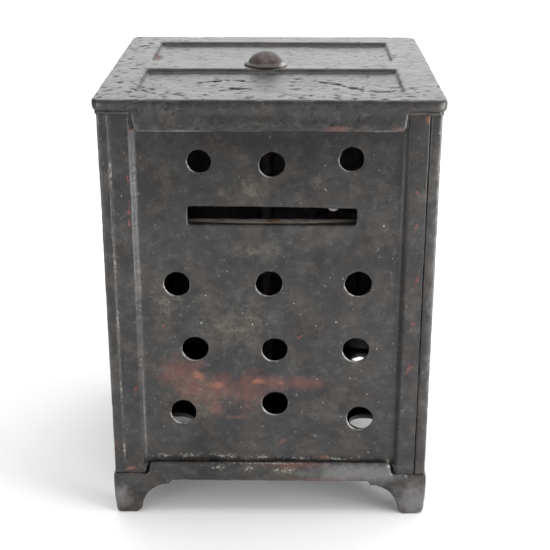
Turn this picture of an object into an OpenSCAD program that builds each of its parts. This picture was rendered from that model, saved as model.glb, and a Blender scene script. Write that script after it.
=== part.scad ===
// Cast iron still bank in the form of a small safe.
// Six castings (base, top, coin plate, two sides, front frame) are clamped together by one
// tie bolt through the middle. The front frame carries a hinged door with a key-turned latch.
// Origin: on the resting plane, under the middle of the case. -Y faces the coin plate,
// +Y faces the door, +Z is up. Millimetres.

/* [Case] */
// Width of the case over the side plates
case_w = 76; // [70:0.5:90]
// Depth of the case over the coin plate and the front frame
case_d = 76; // [70:0.5:90]
// Height of the top face above the resting plane
case_h = 104.7; // [95:0.1:120]
// Wall thickness of the plates
plate_t = 2; // [1.6:0.1:2.4]
// Thickness of the front and back edges of the side plates
side_edge_t = 2.6; // [2.4:0.1:2.8]
// Gap between the side plates and the plates that stand between them
plate_gap = 0.05; // [0.05:0.05:0.2]
// Half width of the sunk panel at the face of each wall
panel_half = 31.1; // [29:0.1:33]
// Depth of the sunk panels
panel_sink = 1.2; // [0.8:0.1:1.4]
// Width of the bevel around the sunk panels
bevel_w = 1.2; // [0.8:0.1:1.6]

/* [Base] */
// Height of the ledge that the walls stand on
ledge_z = 11.2; // [9:0.1:14]
// Thickness of the floor of the base
floor_t = 1.9; // [1.5:0.1:2.4]
// Amount that the base stands proud of the walls
base_proud = 0.4; // [0.1:0.05:0.5]
// Gap between the rails of the base and the sunk panels behind them
base_rail_gap = 0.4; // [0.1:0.1:0.5]
// Height of the rails of the base that lap over the sunk panels
base_rail_h = 3.2; // [3:0.1:5]
// Thickness of the bracket feet
foot_t = 2.6; // [2:0.1:4]
// Half length of the straight edge between two feet
foot_gap_half = 24.5; // [22:0.1:27]
// Rise of the hollow curve of a foot
foot_rise = 8.4; // [7:0.1:9]
// Run of the hollow curve of a foot
foot_run = 7.6; // [6:0.1:9]
// Radius of the vent holes in the floor
floor_hole_r = 4.2; // [3:0.1:4.4]

/* [Top] */
// Thickness of the lip of the top
lip_t = 2.9; // [2.5:0.1:4]
// Overhang of the lip beyond the walls
lip_over = 1; // [0.6:0.1:2]
// Radius of the upper edge of the lip
lip_upper_r = 0.5; // [0.3:0.1:0.8]
// Radius of the lower edge of the lip
lip_lower_r = 1.2; // [0.8:0.1:1.6]
// Corner radius of the lip in plan
lip_corner_r = 2; // [1.8:0.1:4]
// Half length of the sunk panels in the top
top_panel_half = 30.4; // [28:0.1:33]
// Depth of the sunk panels in the top
top_sink = 1; // [0.8:0.1:1.2]
// Width of the bevel around the sunk panels in the top
top_bevel = 0.5; // [0.3:0.1:1.2]
// Height of the rails below the lip
top_rail_h = 4.4; // [3:0.1:5]
// Half length of the rails below the lip
top_rail_half = 30.7; // [28:0.1:31]
// Half width of the bar between the two sunk panels
top_bar_half = 5.2; // [4.5:0.1:7]

/* [Coin plate] */
// Radius of the round holes
vent_r = 3.1; // [2.8:0.1:3.3]
// Widening of the round holes towards the inside
vent_draft = 0.8; // [0.2:0.1:1]
// Length of the coin slot
slot_w = 38.4; // [36:0.1:40]
// Height of the left end of the coin slot
slot_h = 4.4; // [4.3:0.1:5]
// Amount that the upper edge of the coin slot falls from left to right
slot_fall = 0.2; // [0:0.1:1]
// Height of the lower edge of the coin slot above the resting plane
slot_z = 75.4; // [75:0.1:77]
// Distance of the middle of the coin slot from the middle of the plate
slot_x = 0.6; // [0:0.1:1]
// Depth of the ledge that guides a coin inside the slot
guide_d = 3; // [0.8:0.1:4]

/* [Tie bolt] */
// Distance of the tie bolt from the middle of the case
bolt_x = -1.5; // [-2:0.1:0]
// Radius of the shank
bolt_r = 2.1; // [1.8:0.1:2.4]
// Radius of the flange under the domed head
head_flange_r = 5.4; // [5:0.1:6.5]
// Radius of the domed head
dome_r = 4.4; // [4:0.1:4.8]
// Height of the domed head
dome_h = 3.5; // [2.5:0.1:4]
// Width of the square nut
nut_w = 7.6; // [7:0.1:9]
// Thickness of the square nut
nut_t = 3.2; // [2.5:0.1:3.5]
// Radius of the washer above the nut
washer_r = 5; // [4.6:0.1:6]
// Thickness of the washer above the nut
washer_t = 0.8; // [0.5:0.1:1]

/* [Door] */
// Half width of the doorway in the front frame
doorway_half = 25.2; // [24:0.1:26]
// Distance from the doorway to the rails above and below it
doorway_sill = 3.3; // [3:0.1:5]
// Gap around the door
door_gap = 0.3; // [0.25:0.05:0.5]
// Thickness of the door
door_t = 2.6; // [2.4:0.1:3]
// Distance that the face of the door stands proud of the sunk panel
door_proud = 0.8; // [0.6:0.1:1]
// Overlap of the lip of the door on the frame around the doorway
door_lip = 1; // [0.6:0.1:1]
// Width of the border around the panels of the door
door_border = 6; // [5:0.1:8]
// Height of the bar between the panels of the door
door_bar = 11; // [10:0.1:14]
// Depth of the sunk panels of the door
door_sink = 1; // [0.6:0.1:1.2]

/* [Hinges] */
// Radius of a hinge knuckle
knuckle_r = 1.45; // [1.3:0.05:1.5]
// Radius of a hinge pin
pin_r = 0.7; // [0.6:0.05:0.8]
// Height of the knuckle on the door
door_knuckle_h = 3.6; // [3:0.1:5]
// Height of each knuckle on the frame
frame_knuckle_h = 3.4; // [3:0.1:5]
// Gap between neighbouring knuckles
knuckle_gap = 0.2; // [0.15:0.05:0.3]
// Distance of each hinge from the middle of the door
hinge_offset = 24.6; // [20:0.1:28]
// Length of the strap that runs from a hinge across the door
strap_l = 9; // [6:0.1:12]

/* [Latch] */
// Distance of the keyhole from the middle of the case
key_x = 17.1; // [16:0.1:17.5]
// Height of the keyhole
key_z = 57.6; // [56:0.1:58.5]
// Radius of the keyhole
key_r = 1.8; // [1.5:0.1:2]
// Outer radius of the lock barrel
barrel_r = 2.6; // [2.4:0.1:2.8]
// Radius of the flange of the lock barrel
flange_r = 4; // [3.6:0.1:4.5]
// Thickness of the latch
latch_t = 1.3; // [1:0.1:1.5]
// Distance from the keyhole to the middle of the rounded tip
latch_reach = 8.6; // [8:0.1:9]
// Distance from the keyhole to the middle of the rounded tail
latch_tail = 5.6; // [5:0.1:6]
// Half width of the latch
latch_half = 2.2; // [1.8:0.1:2.4]
// Angle of the latch above the horizontal when the door is free to open
latch_angle = 60; // [55:1:70]

/* [Hidden] */
$fn = 64;

iron = [0.13, 0.13, 0.14];
worn_iron = [0.2, 0.17, 0.16];
steel = [0.35, 0.34, 0.33];

cut = 1;                                    // how far a cutter runs past a face
lip_z = case_h - lip_t;                     // underside of the lip
face_y = case_d / 2;                        // outer face of the end walls
panel_floor = panel_half - bevel_w;         // half width of the floor of a sunk panel
base_half = case_w / 2 + base_proud;
lip_half = case_w / 2 + lip_over;
rail_depth = panel_sink + base_proud;       // from the outer face of a rail to the sunk panel
top_rail_gap = 0.1;                         // gaps between a rail and the wall around it
rail_side_gap = 0.1;
rail_draft = 0.5;                           // rails narrow by this much at their free edge
rail_corner_r = 0.8;
foot_toe = 1.3;                             // rounding of the toe of a foot
lug = [8, 1.8, 3];                          // lugs that hold the walls from inside
lug_back = case_w / 2 - plate_t - panel_sink - 0.1;

// Each round hole of the coin plate, placed by eye in four rows: x, z and how much its radius
// is below vent_r.
vent_holes = [
  [-15.7, 90.3, 0.4], [0.6, 89.6, 0.2], [18.4, 90.9, 0.3],
  [-21.5, 60.8, 0.1], [-0.1, 61, 0], [20.6, 61, 0],
  [-17.6, 44.4, 0], [1.2, 44.2, 0.1], [20.4, 44.3, 0],
  [-20.8, 27.6, 0], [1.3, 30, 0], [21.8, 26.1, 0]
];
vent_rim = 0.5;                             // straight part of a round hole at the outer face

// Each vent hole of the floor: x, y and how much its radius is below floor_hole_r.
floor_hole_places = [[-25, -9.8, 0], [25, -9.8, 0], [-30.2, 29.4, 1.2], [26.8, 29.8, 0.6]];

bolt_end_z = ledge_z - floor_t - washer_t - nut_t - 0.9;
neck_w = 4.4;                               // square neck under the dome
neck_h = 2;
neck_clear = 0.2;
head_flange_t = 0.6;
boss_r = 6;                                 // boss under the top, around the bolt
boss_h = 1.5;

panel_face_y = face_y - panel_sink;         // sunk face of the front frame
door_y = panel_face_y + door_proud;         // outer face of the door
door_back_y = door_y - door_t;
sill_z = ledge_z + base_rail_h + doorway_sill;
head_z = lip_z - top_rail_h - doorway_sill;
door_half = doorway_half - door_gap;
door_low = sill_z + door_gap;
door_high = head_z - door_gap;
hinge_x = -doorway_half - 1;
hinge_y = face_y - 0.5;
door_mid = (sill_z + head_z) / 2;
relief_r = knuckle_r + 0.3;                 // room around a knuckle on the other leaf
lip_gap = 0.1;                              // gap between the lip and the face of the frame
lip_out = doorway_half + door_lip;
strap_t = 0.5;                              // how far a strap stands proud of the door
run_clear = 0.05;                           // radial clearance of a turning fit
set_clear = 0.01;                           // radial clearance of a fixed fit
pin_head_r = 1.1;
pin_head_h = 0.6;
pin_head_room = 0.3;                        // room around a pin's head in the frame

wash_t = 0.38;                              // spring washer between door and latch
latch_front_y = panel_face_y - plate_t - 0.3;
latch_back_y = latch_front_y - latch_t;
rim_t = 0.35;                               // swaged rim that holds the latch on the barrel
rim_r = 3.3;
flange_t = 0.7;
flange_y = door_y + run_clear;
keyway = [1.2, 1.5, 3];                     // width, depth and reach of the keyway
stop_r = 0.8;                               // stop pin beside the latch
stop_at = [6, -(latch_half + stop_r + 0.05)];

// Stands a plan outline up between two heights.
module upright(low, high) {
  translate([0, 0, low]) linear_extrude(high - low) children();
}

// Repeats a piece on the four sides of the case.
module four_sides() {
  for (turn = [0:90:270]) rotate([0, 0, turn]) children();
}

// Plan section of a wall: stiles at both ends and a sunk panel between them.
// The outer face lies on y = 0 and the wall thickens towards +y.
module wall_section(half, stile_t) {
  inner_half = panel_half - (stile_t - plate_t) * bevel_w / panel_sink;
  polygon([
    [-half, 0], [-panel_half, 0], [-panel_floor, panel_sink], [panel_floor, panel_sink],
    [panel_half, 0], [half, 0], [half, stile_t], [inner_half, stile_t],
    [panel_floor, plate_t + panel_sink], [-panel_floor, plate_t + panel_sink],
    [-inner_half, stile_t], [-half, stile_t]
  ]);
}

// Pocket with bevelled sides, sunk below z = 0.
module pocket(w, h, sink, bevel) {
  module section(size) {
    polygon([
      [-size / 2, cut], [size / 2, cut], [size / 2, 0], [size / 2 - bevel, -sink],
      [-size / 2 + bevel, -sink], [-size / 2, 0]
    ]);
  }
  intersection() {
    rotate([90, 0, 0]) linear_extrude(h + cut, center = true) section(w);
    rotate([90, 0, 90]) linear_extrude(w + cut, center = true) section(h);
  }
}

// Elevation of a rail, standing on z = 0 with its free corners rounded.
module rail_outline(rail_half, height) {
  tip = rail_half - rail_draft - rail_corner_r;
  rise = height - rail_corner_r;
  polygon(concat(
    [[-rail_half, 0], [rail_half, 0]],
    [for (a = [0:15:90]) [tip + rail_corner_r * cos(a), rise + rail_corner_r * sin(a)]],
    [for (a = [90:15:180]) [-tip + rail_corner_r * cos(a), rise + rail_corner_r * sin(a)]]
  ));
}

// Plan of a rail: its ends follow the bevels of the sunk panel, so it is narrower at the back.
module rail_plan(rail_half, depth) {
  back_half = min(rail_half, panel_floor - rail_side_gap + rail_depth - depth);
  slant = rail_half - back_half;
  polygon([
    [-rail_half, 0], [rail_half, 0], [rail_half, depth - slant], [back_half, depth],
    [-back_half, depth], [-rail_half, depth - slant]
  ]);
}

// Rails on all four sides, from the outer face of the base or top inwards.
module rails(rail_half, height, gap) {
  depth = rail_depth - gap;
  four_sides() translate([0, -base_half, 0]) intersection() {
    translate([0, depth, 0]) rotate([90, 0, 0]) linear_extrude(depth)
      rail_outline(rail_half, height);
    linear_extrude(height) rail_plan(rail_half, depth);
  }
}

// Lugs behind the walls, one at the middle of each side.
module lugs() {
  four_sides() translate([-lug[0] / 2, -lug_back, 0]) cube(lug);
}

// Elevation of one bracket foot, from the straight edge to the outer corner.
module foot_outline() {
  toe_x = foot_gap_half + foot_run + foot_toe;
  polygon(concat(
    [[foot_gap_half, ledge_z - floor_t]],
    [for (a = [90:-7.5:7.5])
      [foot_gap_half + foot_run * cos(a), foot_rise * sin(a)]],
    [[toe_x - foot_toe * 0.4, foot_toe * 0.3], [toe_x, 0], [base_half - foot_toe, 0]],
    [for (a = [-90:15:0])
      [base_half - foot_toe + foot_toe * cos(a), foot_toe + foot_toe * sin(a)]],
    [[base_half, ledge_z - floor_t]]
  ));
}

module feet() {
  four_sides() translate([0, -base_half + foot_t, 0])
    rotate([90, 0, 0]) linear_extrude(foot_t) {
      foot_outline();
      mirror([1, 0]) foot_outline();
    }
}

module floor_holes() {
  for (hole = floor_hole_places)
    translate([hole[0], hole[1], ledge_z - floor_t - cut])
      cylinder(r = floor_hole_r - hole[2], h = floor_t + 2 * cut);
}

module base() {
  color(iron) difference() {
    union() {
      upright(ledge_z - floor_t, ledge_z) square(2 * base_half, center = true);
      feet();
      translate([0, 0, ledge_z]) rails(panel_floor, base_rail_h, base_rail_gap);
      translate([0, 0, ledge_z]) lugs();
    }
    floor_holes();
    translate([bolt_x, 0, ledge_z - floor_t - cut])
      cylinder(r = bolt_r + neck_clear, h = floor_t + 2 * cut);
  }
}

// One rounded corner of the lip, with its two edge radii.
module lip_corner() {
  rotate_extrude($fn = 32) polygon(concat(
    [[0, 0]],
    [for (a = [-90:15:0]) [
      lip_corner_r - lip_lower_r + lip_lower_r * cos(a), lip_lower_r + lip_lower_r * sin(a)]],
    [for (a = [0:30:90]) [
      lip_corner_r - lip_upper_r + lip_upper_r * cos(a),
      lip_t - lip_upper_r + lip_upper_r * sin(a)]],
    [[0, lip_t]]
  ));
}

module lip() {
  reach = lip_half - lip_corner_r;
  hull() for (x = [-reach, reach], y = [-reach, reach])
    translate([x, y, 0]) lip_corner();
}

module top_plate() {
  panel_d = top_panel_half - top_bar_half;
  color(iron) difference() {
    union() {
      translate([0, 0, lip_z]) lip();
      translate([0, 0, lip_z]) mirror([0, 0, 1]) rails(top_rail_half, top_rail_h, top_rail_gap);
      translate([0, 0, lip_z - lug[2]]) lugs();
      translate([bolt_x, 0, lip_z - boss_h]) cylinder(r = boss_r, h = boss_h + cut);
    }
    for (side = [-1, 1])
      translate([0, side * (top_bar_half + panel_d / 2), case_h])
        pocket(2 * top_panel_half, panel_d, top_sink, top_bevel);
    translate([bolt_x, 0, case_h])
      cube([neck_w + neck_clear, neck_w + neck_clear, 4 * lip_t], center = true);
  }
}

// One round hole through the coin plate, wider on the inside so that it leaves the mould.
module vent_cut(radius) {
  translate([0, -panel_face_y + plate_t, 0]) rotate([90, 0, 0]) {
    translate([0, 0, -cut]) cylinder(r = radius, h = 2 * plate_t + cut);
    cylinder(r1 = radius + vent_draft, r2 = radius, h = plate_t - vent_rim);
    translate([0, 0, -cut]) cylinder(r = radius + vent_draft, h = cut);
  }
}

// Elevation of the coin slot, from its lower edge up.
module slot_outline() {
  polygon([
    [-slot_w / 2, 0], [slot_w / 2, 0], [slot_w / 2, slot_h - slot_fall], [-slot_w / 2, slot_h]
  ]);
}

module coin_plate() {
  guide_y = -panel_face_y + plate_t;
  color(iron) difference() {
    union() {
      translate([0, -face_y, 0]) upright(ledge_z, lip_z)
        wall_section(case_w / 2 - side_edge_t - plate_gap, plate_t);
      translate([slot_x - slot_w / 2 - 1, guide_y - 0.5, slot_z - 1.5])
        cube([slot_w + 2, guide_d + 0.5, 1.5]);
    }
    for (hole = vent_holes) translate([hole[0], 0, hole[1]]) vent_cut(vent_r - hole[2]);
    translate([slot_x, -face_y + 3 * plate_t, slot_z]) rotate([90, 0, 0])
      linear_extrude(4 * plate_t) slot_outline();
  }
}

// Side wall, standing at -X before it is turned.
module side_plate() {
  color(iron) rotate([0, 0, -90]) translate([0, -case_w / 2, 0])
    upright(ledge_z, lip_z) wall_section(case_d / 2, side_edge_t);
}

module left_side_plate() {
  side_plate();
}

module right_side_plate() {
  mirror([1, 0, 0]) side_plate();
}

// Heights of the two hinges.
function hinge_levels() = [door_mid - hinge_offset, door_mid + hinge_offset];

// Lower end of each frame knuckle of a hinge, measured from the middle of the hinge.
function frame_knuckles() = [
  -door_knuckle_h / 2 - knuckle_gap - frame_knuckle_h, door_knuckle_h / 2 + knuckle_gap
];

module at_hinges() {
  for (level = hinge_levels()) translate([hinge_x, hinge_y, level]) children();
}

module frame_knuckle_solids(radius, grow) {
  for (low = frame_knuckles())
    translate([0, 0, low - grow]) cylinder(r = radius, h = frame_knuckle_h + 2 * grow);
}

// Room around the head of a hinge pin.
module pin_head_space() {
  translate([0, 0, door_knuckle_h / 2 + knuckle_gap + frame_knuckle_h])
    cylinder(r = pin_head_r + pin_head_room, h = pin_head_h + pin_head_room);
}

module front_frame() {
  root_y = panel_face_y - hinge_y;
  notch_h = door_knuckle_h + 2 * knuckle_gap;
  color(iron) difference() {
    union() {
      difference() {
        rotate([0, 0, 180]) translate([0, -face_y, 0]) upright(ledge_z, lip_z)
          wall_section(case_w / 2 - side_edge_t - plate_gap, plate_t);
        translate([-doorway_half, face_y - 4 * plate_t, sill_z])
          cube([2 * doorway_half, 5 * plate_t, head_z - sill_z]);
      }
      at_hinges() {
        frame_knuckle_solids(knuckle_r, 0);
        for (low = frame_knuckles())
          translate([-knuckle_r, root_y - 0.5, low])
            cube([knuckle_r, 0.5 - root_y, frame_knuckle_h]);
      }
    }
    at_hinges() {
      translate([0, 0, -2 * frame_knuckle_h - door_knuckle_h])
        cylinder(r = pin_r + set_clear, h = 4 * frame_knuckle_h + 2 * door_knuckle_h);
      pin_head_space();
      translate([0, 0, -notch_h / 2]) cylinder(r = relief_r, h = notch_h);
      translate([0, -relief_r, -notch_h / 2]) cube([2 * relief_r, 2 * relief_r, notch_h]);
    }
  }
}

module hinge_pin(level) {
  half = door_knuckle_h / 2 + knuckle_gap + frame_knuckle_h;
  color(steel) translate([hinge_x, hinge_y, level]) {
    translate([0, 0, -half]) cylinder(r = pin_r, h = 2 * half);
    translate([0, 0, half]) cylinder(r = pin_head_r, h = pin_head_h);
  }
}

module upper_hinge_pin() {
  hinge_pin(hinge_levels()[1]);
}

module lower_hinge_pin() {
  hinge_pin(hinge_levels()[0]);
}

// The knuckle of the door, with its strap across the face.
module door_leaf() {
  strap_top = door_y + strap_t - hinge_y;
  strap_low = -knuckle_r + 0.25;
  translate([0, 0, -door_knuckle_h / 2]) {
    cylinder(r = knuckle_r, h = door_knuckle_h);
    translate([0, strap_low, 0]) cube([strap_l, strap_top - strap_low, door_knuckle_h]);
  }
  translate([strap_l, strap_top, 0]) rotate([90, 0, 0])
    cylinder(r = door_knuckle_h / 2, h = strap_top - strap_low);
}

module door() {
  lower_h = key_z - door_bar / 2 - door_low - door_border;
  upper_h = door_high - door_border - key_z - door_bar / 2;
  panel_w = 2 * (door_half - door_border);
  color(iron) difference() {
    union() {
      difference() {
        union() {
          translate([-door_half, door_back_y, door_low])
            cube([2 * door_half, door_t, door_high - door_low]);
          translate([-lip_out, panel_face_y + lip_gap, sill_z - door_lip])
            cube([2 * lip_out, door_proud - lip_gap, head_z - sill_z + 2 * door_lip]);
        }
        for (spot = [[door_low + door_border + lower_h / 2, lower_h],
                     [key_z + door_bar / 2 + upper_h / 2, upper_h]])
          translate([0, door_y, spot[0]]) rotate([-90, 0, 0])
            pocket(panel_w, spot[1], door_sink, bevel_w);
        at_hinges() {
          frame_knuckle_solids(relief_r, knuckle_gap);
          pin_head_space();
        }
      }
      at_hinges() door_leaf();
    }
    at_hinges() cylinder(r = pin_r + run_clear, h = 2 * door_knuckle_h, center = true);
    translate([key_x, door_y + cut, key_z]) rotate([90, 0, 0])
      cylinder(r = barrel_r + run_clear, h = door_t + 2 * cut);
    translate([key_x + stop_at[0], door_y + cut, key_z + stop_at[1]]) rotate([90, 0, 0])
      cylinder(r = stop_r + set_clear, h = door_t + 2 * cut);
  }
}

module latch_stop_pin() {
  color(steel) translate([key_x + stop_at[0], door_y, key_z + stop_at[1]]) rotate([90, 0, 0])
    cylinder(r = stop_r, h = door_y - latch_back_y);
}

module latch_washer() {
  color(steel) translate([key_x, door_back_y, key_z]) rotate([90, 0, 0]) difference() {
    cylinder(r = flange_r + 0.2, h = wash_t);
    translate([0, 0, -cut]) cylinder(r = barrel_r + 2 * run_clear, h = wash_t + 2 * cut);
  }
}

module lock_barrel() {
  rim_y = latch_back_y - rim_t;
  color(worn_iron) translate([key_x, 0, key_z]) rotate([-90, 0, 0]) difference() {
    union() {
      translate([0, 0, rim_y]) cylinder(r = rim_r, h = rim_t);
      translate([0, 0, rim_y]) cylinder(r = barrel_r, h = flange_y - rim_y + flange_t / 2);
      translate([0, 0, flange_y]) cylinder(r = flange_r, h = flange_t);
    }
    translate([0, 0, rim_y - cut]) cylinder(r = key_r, h = face_y);
    translate([-keyway[0] / 2, 0, flange_y + flange_t - keyway[1]])
      cube([keyway[0], keyway[2], keyway[1] + cut]);
  }
}

module latch_bar() {
  color(worn_iron) translate([key_x, latch_front_y, key_z]) rotate([90, -latch_angle, 0])
    linear_extrude(latch_t) difference() {
      union() {
        circle(r = flange_r + 0.2);
        translate([-latch_tail, -latch_half]) square([latch_tail + latch_reach, 2 * latch_half]);
        translate([latch_reach, 0]) circle(r = latch_half);
        translate([-latch_tail, 0]) circle(r = latch_half);
      }
      circle(r = barrel_r + set_clear);
    }
}

module tie_bolt() {
  cap_h = dome_h - head_flange_t;
  sphere_r = (dome_r * dome_r + cap_h * cap_h) / (2 * cap_h);
  color(worn_iron) translate([bolt_x, 0, 0]) {
    intersection() {
      translate([0, 0, case_h + dome_h - sphere_r]) sphere(r = sphere_r);
      translate([0, 0, case_h + head_flange_t / 2]) cylinder(r = 2 * dome_r, h = 2 * dome_h);
    }
    translate([0, 0, case_h])
      cylinder(r1 = head_flange_r, r2 = head_flange_r - 0.4, h = head_flange_t);
    translate([0, 0, case_h - neck_h / 2]) cube([neck_w, neck_w, neck_h], center = true);
    translate([0, 0, bolt_end_z]) cylinder(r = bolt_r, h = case_h - bolt_end_z);
  }
}

module tie_bolt_washer() {
  color(steel) translate([bolt_x, 0, ledge_z - floor_t - washer_t]) difference() {
    cylinder(r = washer_r, h = washer_t);
    translate([0, 0, -cut]) cylinder(r = bolt_r + neck_clear, h = washer_t + 2 * cut);
  }
}

module tie_bolt_nut() {
  color(worn_iron) translate([bolt_x, 0, ledge_z - floor_t - washer_t - nut_t]) difference() {
    translate([-nut_w / 2, -nut_w / 2, 0]) cube([nut_w, nut_w, nut_t]);
    translate([0, 0, -cut]) cylinder(r = bolt_r + set_clear, h = nut_t + 2 * cut);
  }
}

base();
top_plate();
coin_plate();
left_side_plate();
right_side_plate();
front_frame();
tie_bolt();
tie_bolt_washer();
tie_bolt_nut();
upper_hinge_pin();
lower_hinge_pin();
door();
latch_stop_pin();
latch_washer();
lock_barrel();
latch_bar();
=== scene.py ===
"""Looks for a cast iron still bank: worn black paint over cast iron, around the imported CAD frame.

Every casting is remade from its CAD solid as a cast surface: softened edges, a wavy skin, pits,
flaked paint and uneven hole rims, all in the mesh. Paint, rust and dust are node materials.
Lengths in this file are written in millimetres and turned into metres by MM.
"""
import math

import bmesh
import bpy
import numpy as np
from mathutils import Euler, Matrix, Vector, noise


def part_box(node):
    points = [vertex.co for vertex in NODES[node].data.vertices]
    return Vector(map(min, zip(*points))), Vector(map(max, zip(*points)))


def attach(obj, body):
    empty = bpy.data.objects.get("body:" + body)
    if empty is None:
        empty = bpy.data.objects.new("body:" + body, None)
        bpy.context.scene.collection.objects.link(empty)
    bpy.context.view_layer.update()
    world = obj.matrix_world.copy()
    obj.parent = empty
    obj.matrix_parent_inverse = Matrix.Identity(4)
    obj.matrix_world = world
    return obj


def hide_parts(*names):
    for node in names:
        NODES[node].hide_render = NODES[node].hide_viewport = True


MM = 0.001
WELD = 0.001     # mm; vertices of a CAD mesh nearer than this are one

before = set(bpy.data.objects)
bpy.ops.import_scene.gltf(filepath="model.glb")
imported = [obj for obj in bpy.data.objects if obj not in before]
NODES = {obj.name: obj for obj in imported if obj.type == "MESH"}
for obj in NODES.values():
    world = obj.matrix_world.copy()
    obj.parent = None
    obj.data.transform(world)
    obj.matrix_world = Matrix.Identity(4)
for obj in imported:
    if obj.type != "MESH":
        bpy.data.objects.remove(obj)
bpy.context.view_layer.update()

# ---------------------------------------------------------------- cast surfaces

RIM_Y = -36.0                        # rims of the coin plate's holes lie outside this y
RIM_BAND = 0.3                       # and are full rims this far outside it
PANEL_REACH = 33                     # the lid's sunk panels lie this near its middle
PANEL_LOW_Z = 103                    # and above this height
CHAMBER_HALF = 35.6                  # half width of the space inside the walls
CHAMBER_LOW, CHAMBER_HIGH = 11, 101.9
FOOT_TAPER_Z = 6                     # the feet taper below this height
FOOT_TAPER = 0.013                   # by this share at the floor
SLOT = (-18.6, 19.8, 75.4, 79.7)     # left, right, lower and upper edge of the coin slot
CRACK_REACH = 0.9                    # paint lifts this near a crack
CRACK_DEPTH = 0.35


def mesh_arrays(mesh):
    """Vertex positions and normals of a mesh, as arrays of shape (n, 3)."""
    count = len(mesh.vertices)
    co = np.empty(count * 3, np.float32)
    mesh.vertices.foreach_get("co", co)
    normals = np.empty(count * 3, np.float32)
    mesh.vertex_normals.foreach_get("vector", normals)
    return co.reshape(-1, 3).astype(float), normals.reshape(-1, 3).astype(float)


def set_positions(mesh, co):
    """Moves the vertices of a mesh to co."""
    mesh.vertices.foreach_set("co", co.astype(np.float32).ravel())
    mesh.update()


def add_attribute(mesh, name, values):
    """Gives a mesh one value per vertex, which its material reads by name."""
    attribute = mesh.attributes.new(name, "FLOAT", "POINT")
    attribute.data.foreach_set("value", values.astype(np.float32))


def fractal(points, scale, octaves, seed):
    """Fractal noise of about -1 to 1 at each point; scale is the size of its largest lumps in mm."""
    offset = Vector((seed * 17.3, seed * 5.1, seed * 9.7))
    k = 1 / (scale * MM)
    return np.array([
        noise.fractal(Vector(p) * k + offset, 1.0, 2.0, octaves) for p in points
    ])


def apply_modifiers(obj):
    """Bakes the modifiers of obj into its mesh."""
    depsgraph = bpy.context.evaluated_depsgraph_get()
    mesh = bpy.data.meshes.new_from_object(obj.evaluated_get(depsgraph))
    obj.modifiers.clear()
    old = obj.data
    obj.data = mesh
    bpy.data.meshes.remove(old)


def copy_node(node, name):
    """A new object with a copy of a CAD node's mesh, its doubled vertices merged."""
    mesh = NODES[node].data.copy()
    mesh.materials.clear()
    obj = bpy.data.objects.new(name, mesh)
    bpy.context.scene.collection.objects.link(obj)
    bm = bmesh.new()
    bm.from_mesh(mesh)
    bmesh.ops.remove_doubles(bm, verts=bm.verts, dist=WELD * MM)
    bm.to_mesh(mesh)
    bm.free()
    return obj


def near_lines(points, lines, width):
    """1 on any of the lines, falling to 0 at width mm from it; lines run in X and Y, in mm."""
    found = np.zeros(len(points))
    for line in lines:
        for (x0, y0), (x1, y1) in zip(line[:-1], line[1:]):
            along = np.array([x1 - x0, y1 - y0])
            t = np.clip(((points - (x0, y0)) @ along) / (along @ along), 0, 1)
            gap = np.hypot(points[:, 0] - x0 - t * along[0], points[:, 1] - y0 - t * along[1])
            found = np.maximum(found, np.clip(1 - gap / width, 0, 1))
    return found


def near_outer_face(y):
    """1 near the outer face of the coin plate and 0 further inside it; y is in mm."""
    return np.clip((RIM_Y - y) / RIM_BAND, 0, 1)


def draw_rims(co, moved, rims):
    """Draws the walls of round holes back to nearly round, in place.

    It returns how near and how bare each rim is, most at its lower left, where the pale rim is also a
    painted highlight.
    """
    near = np.zeros(len(co))
    outer = near_outer_face(co[:, 1] / MM)
    for x, z, radius in rims:
        dx, dz = moved[:, 0] / MM - x, moved[:, 2] / MM - z
        distance = np.hypot(dx, dz)
        off = np.abs(distance - radius)
        pull = np.clip(1.6 - off / 0.4, 0, 1) * outer
        angle = np.arctan2(dz, dx)
        uneven = 0.05 * np.sin(2 * angle + x) + 0.03 * np.sin(3 * angle + z) + 0.015 * np.sin(8 * angle)
        factor = 1 + pull * (radius + uneven - distance) / np.maximum(distance, 0.1)
        moved[:, 0] = (x + dx * factor) * MM
        moved[:, 2] = (z + dz * factor) * MM
        # The lower left of each rim is made paler: a painted highlight of light from the upper right on the
        # hole's wall.
        lower_left = 0.42 + 0.58 * np.clip(np.cos(angle - math.radians(225)), 0, 1)
        near = np.maximum(near, np.clip(1 - off / 0.7, 0, 1) * outer * lower_left)
    return near


def draw_slot(moved):
    """Squares the slot's corners and lets its upper edge sag to the right, both in place.

    It returns how near and how bare the slot's rim is.
    """
    left, right, low, high = SLOT
    x, y, z = moved.T / MM
    along = np.clip((x - left) / (right - left), 0, 1)
    inside = (x > left - 0.3) & (x < right + 0.3)
    near_top = np.exp(-((z - high) / 0.8) ** 2) * inside
    for corner_x in (left, right):
        for corner_z in (low, high):
            pull = 0.7 * np.clip(1 - np.hypot(x - corner_x, z - corner_z) / 0.9, 0, 1)
            moved[:, 0] += pull * (corner_x * MM - moved[:, 0])
            moved[:, 2] += pull * (corner_z * MM - moved[:, 2])
    moved[:, 2] -= (0.05 + 0.42 * along) * near_top * MM
    gap = np.maximum(np.maximum(left - x, x - right), np.maximum(low - z, z - high))
    weight = np.where(x < left + 0.4, 0.42, np.where(z > 77, 0.5 - 0.3 * along, 0.40))
    return np.clip(1 - np.abs(gap) / 0.6, 0, 1) * near_outer_face(y) * weight


def remesh(obj, voxel):
    """Remeshes obj evenly, voxel mm fine, and returns its vertex positions."""
    even = obj.modifiers.new("remesh", "REMESH")
    even.mode = "VOXEL"
    even.voxel_size = voxel * MM
    even.adaptivity = 0
    apply_modifiers(obj)
    return mesh_arrays(obj.data)[0]


def soften(obj, steps):
    """Smooths obj and returns its new vertex positions and normals."""
    smooth = obj.modifiers.new("soften", "SMOOTH")
    smooth.factor = 0.5
    smooth.iterations = steps
    apply_modifiers(obj)
    return mesh_arrays(obj.data)


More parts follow.
